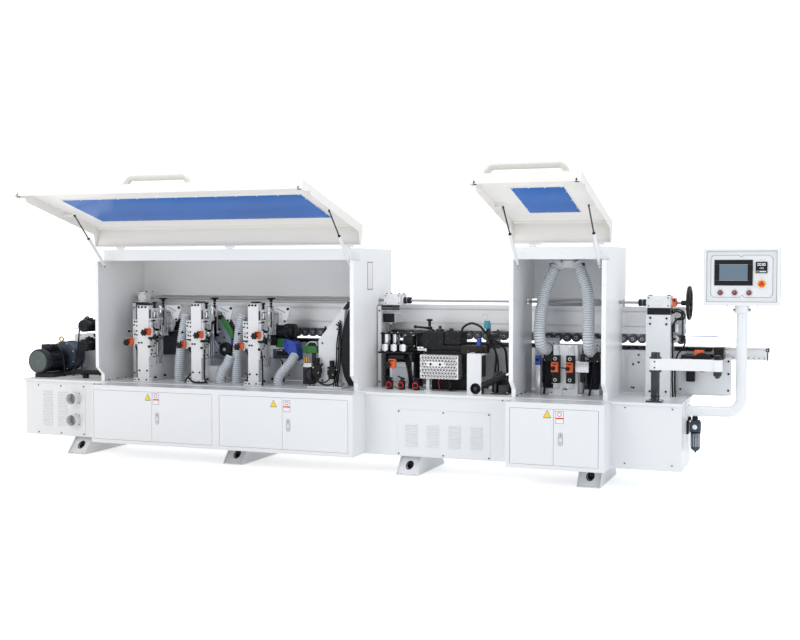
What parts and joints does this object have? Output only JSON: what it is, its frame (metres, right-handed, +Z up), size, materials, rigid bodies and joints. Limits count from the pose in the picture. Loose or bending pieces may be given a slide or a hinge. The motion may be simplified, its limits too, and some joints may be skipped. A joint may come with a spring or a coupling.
{
  "type": "edge banding machine",
  "caption": "Automatic edge banding machine with open hoods, trimming units, chain feed, pressure beam, front cabinets and a swivelling control panel.",
  "frame": {"origin": "on the floor, in the plane of the base front, under the middle of the third cross stand from the left", "axes": "+X along the machine towards the infeed end and control panel, +Y away from the operator, +Z up"},
  "size_m": [6.043, 1.7391, 2.1721],
  "materials": {
    "white_paint": "satin powder coat",
    "hood_paint": "satin powder coat",
    "dark_paint": "satin",
    "blue_window": "tinted clear sheet",
    "bright_steel": "ground",
    "zinc_steel": "zinc plated",
    "dark_steel": "blackened",
    "aluminium_profile": "anodised",
    "black_casting": "painted",
    "black_plastic": "fine grain",
    "orange_plastic": "gloss",
    "red_plastic": "gloss",
    "hose_plastic": "translucent ribbed",
    "roller_rubber": "matt",
    "pad_rubber": "matt",
    "roller_chrome": "polished"
  },
  "bodies": {
    "frame": {"base_frame": "white_paint", "table_top": "white_paint", "cross_stands": "white_paint", "vent_covers": "white_paint", "dust_outlets": "white_paint", "hood_a": "hood_paint", "hood_b": "hood_paint", "conveyor_beam": "aluminium_profile", "conveyor_rail": "aluminium_profile", "lift_columns": "white_paint", "lift_gearboxes": "white_paint", "electric_motors": "black_casting", "unit_columns": "white_paint", "extraction_duct": "white_paint", "extraction_hoses": "hose_plastic", "glue_pot": "black_casting", "glue_guard": "zinc_steel", "press_bracket": "black_casting", "arm_post": "dark_steel", "control_arm": "white_paint", "air_units": "black_plastic", "infeed_guide": "black_casting", "position_counters": "orange_plastic", "power_cables": "black_plastic", "machine_bolts": "dark_steel"},
    "door_1": {"cabinet_door_1": "white_paint"},
    "door_2": {"cabinet_door_2": "white_paint"},
    "door_3": {"cabinet_door_3": "white_paint"},
    "door_4": {"cabinet_door_4": "white_paint"},
    "door_5": {"cabinet_door_5": "white_paint"},
    "door_6": {"cabinet_door_6": "white_paint"},
    "latch_1": {"door_latch_1": "zinc_steel"},
    "latch_2": {"door_latch_2": "zinc_steel"},
    "latch_3": {"door_latch_3": "zinc_steel"},
    "hood_lid_a": {"lid_a": "hood_paint", "lid_a_window": "blue_window"},
    "strut_cylinder_a": {"strut_cylinders_a": "zinc_steel"},
    "strut_rod_a": {"strut_rods_a": "dark_steel"},
    "hood_lid_b": {"lid_b": "hood_paint", "lid_b_window": "blue_window"},
    "strut_cylinder_b": {"strut_cylinders_b": "zinc_steel"},
    "strut_rod_b": {"strut_rods_b": "dark_steel"},
    "feed_chain": {"chain_pads": "pad_rubber"},
    "beam": {"pressure_beam": "aluminium_profile", "pressure_rollers": "roller_rubber"},
    "lift_drive": {"lift_shaft": "bright_steel", "handwheel": "black_plastic"},
    "arm": {"swing_arm": "white_paint"},
    "spindle": {"arm_spindle": "dark_steel"},
    "panel": {"control_box": "white_paint"},
    "stop_button": {"emergency_stop": "red_plastic"},
    "button_1": {"push_button_1": "red_plastic"},
    "button_2": {"push_button_2": "red_plastic"},
    "button_3": {"push_button_3": "red_plastic"},
    "scraper": {"scraper_head": "aluminium_profile"},
    "fine_trimmer": {"fine_trim_head": "aluminium_profile"},
    "rough_trimmer": {"rough_trim_head": "aluminium_profile"},
    "end_trimmer": {"end_trim_saw": "dark_steel"},
    "presser": {"press_roller": "roller_chrome"},
    "gluer": {"glue_roller": "bright_steel"}
  },
  "joints": [
    {"name": "door_1_hinge", "type": "hinge", "parent": "frame", "child": "door_1", "pos_m": [-2.5915, -0.235, 0.3625], "axis": [0, 0, -1], "range_deg": [0, 105]},
    {"name": "door_2_hinge", "type": "hinge", "parent": "frame", "child": "door_2", "pos_m": [-1.5385, -0.235, 0.3625], "axis": [0, 0, 1], "range_deg": [0, 90]},
    {"name": "door_3_hinge", "type": "hinge", "parent": "frame", "child": "door_3", "pos_m": [-1.4625, -0.235, 0.3625], "axis": [0, 0, -1], "range_deg": [0, 90]},
    {"name": "door_4_hinge", "type": "hinge", "parent": "frame", "child": "door_4", "pos_m": [-0.4135, -0.235, 0.3625], "axis": [0, 0, 1], "range_deg": [0, 105]},
    {"name": "door_5_hinge", "type": "hinge", "parent": "frame", "child": "door_5", "pos_m": [0.8135, -0.235, 0.3625], "axis": [0, 0, -1], "range_deg": [0, 105]},
    {"name": "door_6_hinge", "type": "hinge", "parent": "frame", "child": "door_6", "pos_m": [1.4165, -0.235, 0.3625], "axis": [0, 0, 1], "range_deg": [0, 105]},
    {"name": "latch_1_turn", "type": "hinge", "parent": "door_2", "child": "latch_1", "pos_m": [-2.01575, -0.24, 0.348], "axis": [0, 1, 0], "range_deg": [0, 90]},
    {"name": "latch_2_turn", "type": "hinge", "parent": "door_4", "child": "latch_2", "pos_m": [-0.88875, -0.24, 0.348], "axis": [0, 1, 0], "range_deg": [0, 90]},
    {"name": "latch_3_turn", "type": "hinge", "parent": "door_6", "child": "latch_3", "pos_m": [1.16425, -0.24, 0.348], "axis": [0, 1, 0], "range_deg": [0, 90]},
    {"name": "lid_a_hinge", "type": "hinge", "parent": "frame", "child": "hood_lid_a", "pos_m": [-1.56, 0.035, 1.684], "axis": [1, 0, 0], "range_deg": [0, 104.5]},
    {"name": "strut_a_pivot", "type": "hinge", "parent": "frame", "child": "strut_cylinder_a", "pos_m": [-1.56, 0, 1.527], "axis": [1, 0, 0], "range_deg": [0, 120]},
    {"name": "strut_a_stroke", "type": "slide", "parent": "strut_cylinder_a", "child": "strut_rod_a", "axis": [0, -0.7089, 0.7053], "range_m": [-0.23, 0]},
    {"name": "lid_b_hinge", "type": "hinge", "parent": "frame", "child": "hood_lid_b", "pos_m": [1.1, 0.035, 1.684], "axis": [1, 0, 0], "range_deg": [0, 104.5]},
    {"name": "strut_b_pivot", "type": "hinge", "parent": "frame", "child": "strut_cylinder_b", "pos_m": [1.1, 0, 1.527], "axis": [1, 0, 0], "range_deg": [0, 120]},
    {"name": "strut_b_stroke", "type": "slide", "parent": "strut_cylinder_b", "child": "strut_rod_b", "axis": [0, -0.7089, 0.7053], "range_m": [-0.23, 0]},
    {"name": "chain_feed", "type": "slide", "parent": "frame", "child": "feed_chain", "axis": [1, 0, 0], "range_m": [-0.06, 0]},
    {"name": "beam_lift", "type": "slide", "parent": "frame", "child": "beam", "axis": [0, 0, 1], "range_m": [-0.01, 0.04]},
    {"name": "lift_shaft_turn", "type": "hinge", "parent": "frame", "child": "lift_drive", "pos_m": [1.724, 0.45, 1.27], "axis": [1, 0, 0], "range_deg": [-722, 2882]},
    {"name": "arm_swing", "type": "hinge", "parent": "frame", "child": "arm", "pos_m": [1.753, 0.07, 0.859], "axis": [0, 0, 1], "range_deg": [-100, 15]},
    {"name": "arm_spindle_turn", "type": "hinge", "parent": "arm", "child": "spindle", "pos_m": [2.165, 0.07, 0.859], "axis": [0, 0, 1], "continuous": true},
    {"name": "panel_swivel", "type": "hinge", "parent": "frame", "child": "panel", "pos_m": [2.308, 0.24, 1.236], "axis": [0, 0, 1], "range_deg": [-60, 60]},
    {"name": "emergency_stop_press", "type": "slide", "parent": "panel", "child": "stop_button", "axis": [0, 1, 0], "range_m": [0, 0.006]},
    {"name": "button_1_press", "type": "slide", "parent": "panel", "child": "button_1", "axis": [0, 1, 0], "range_m": [0, 0.004]},
    {"name": "button_2_press", "type": "slide", "parent": "panel", "child": "button_2", "axis": [0, 1, 0], "range_m": [0, 0.004]},
    {"name": "button_3_press", "type": "slide", "parent": "panel", "child": "button_3", "axis": [0, 1, 0], "range_m": [0, 0.004]},
    {"name": "scraper_adjust", "type": "slide", "parent": "frame", "child": "scraper", "axis": [0, 0, 1], "range_m": [-0.005, 0.005]},
    {"name": "fine_trim_adjust", "type": "slide", "parent": "frame", "child": "fine_trimmer", "axis": [0, 0, 1], "range_m": [-0.005, 0.005]},
    {"name": "rough_trim_adjust", "type": "slide", "parent": "frame", "child": "rough_trimmer", "axis": [0, 0, 1], "range_m": [-0.005, 0.005]},
    {"name": "end_trim_stroke", "type": "slide", "parent": "frame", "child": "end_trimmer", "axis": [0.6139, 0, 0.7894], "range_m": [-0.03, 0.03]},
    {"name": "press_roller_turn", "type": "hinge", "parent": "frame", "child": "presser", "pos_m": [-0.33, 0.545, 0.954], "axis": [0, 0, 1], "continuous": true},
    {"name": "glue_roller_turn", "type": "hinge", "parent": "frame", "child": "gluer", "pos_m": [0.495, 0.56, 0.9775], "axis": [0, 0, 1], "continuous": true}
  ],
  "couplings": [
    {"joint": "strut_a_pivot", "follows": "lid_a_hinge", "ratio": 1.14},
    {"joint": "strut_a_stroke", "follows": "lid_a_hinge", "m_per_rad": -0.125},
    {"joint": "strut_b_pivot", "follows": "lid_b_hinge", "ratio": 1.14},
    {"joint": "strut_b_stroke", "follows": "lid_b_hinge", "m_per_rad": -0.125},
    {"joint": "lift_shaft_turn", "follows": "beam_lift", "rad_per_m": 1256.6}
  ]
}
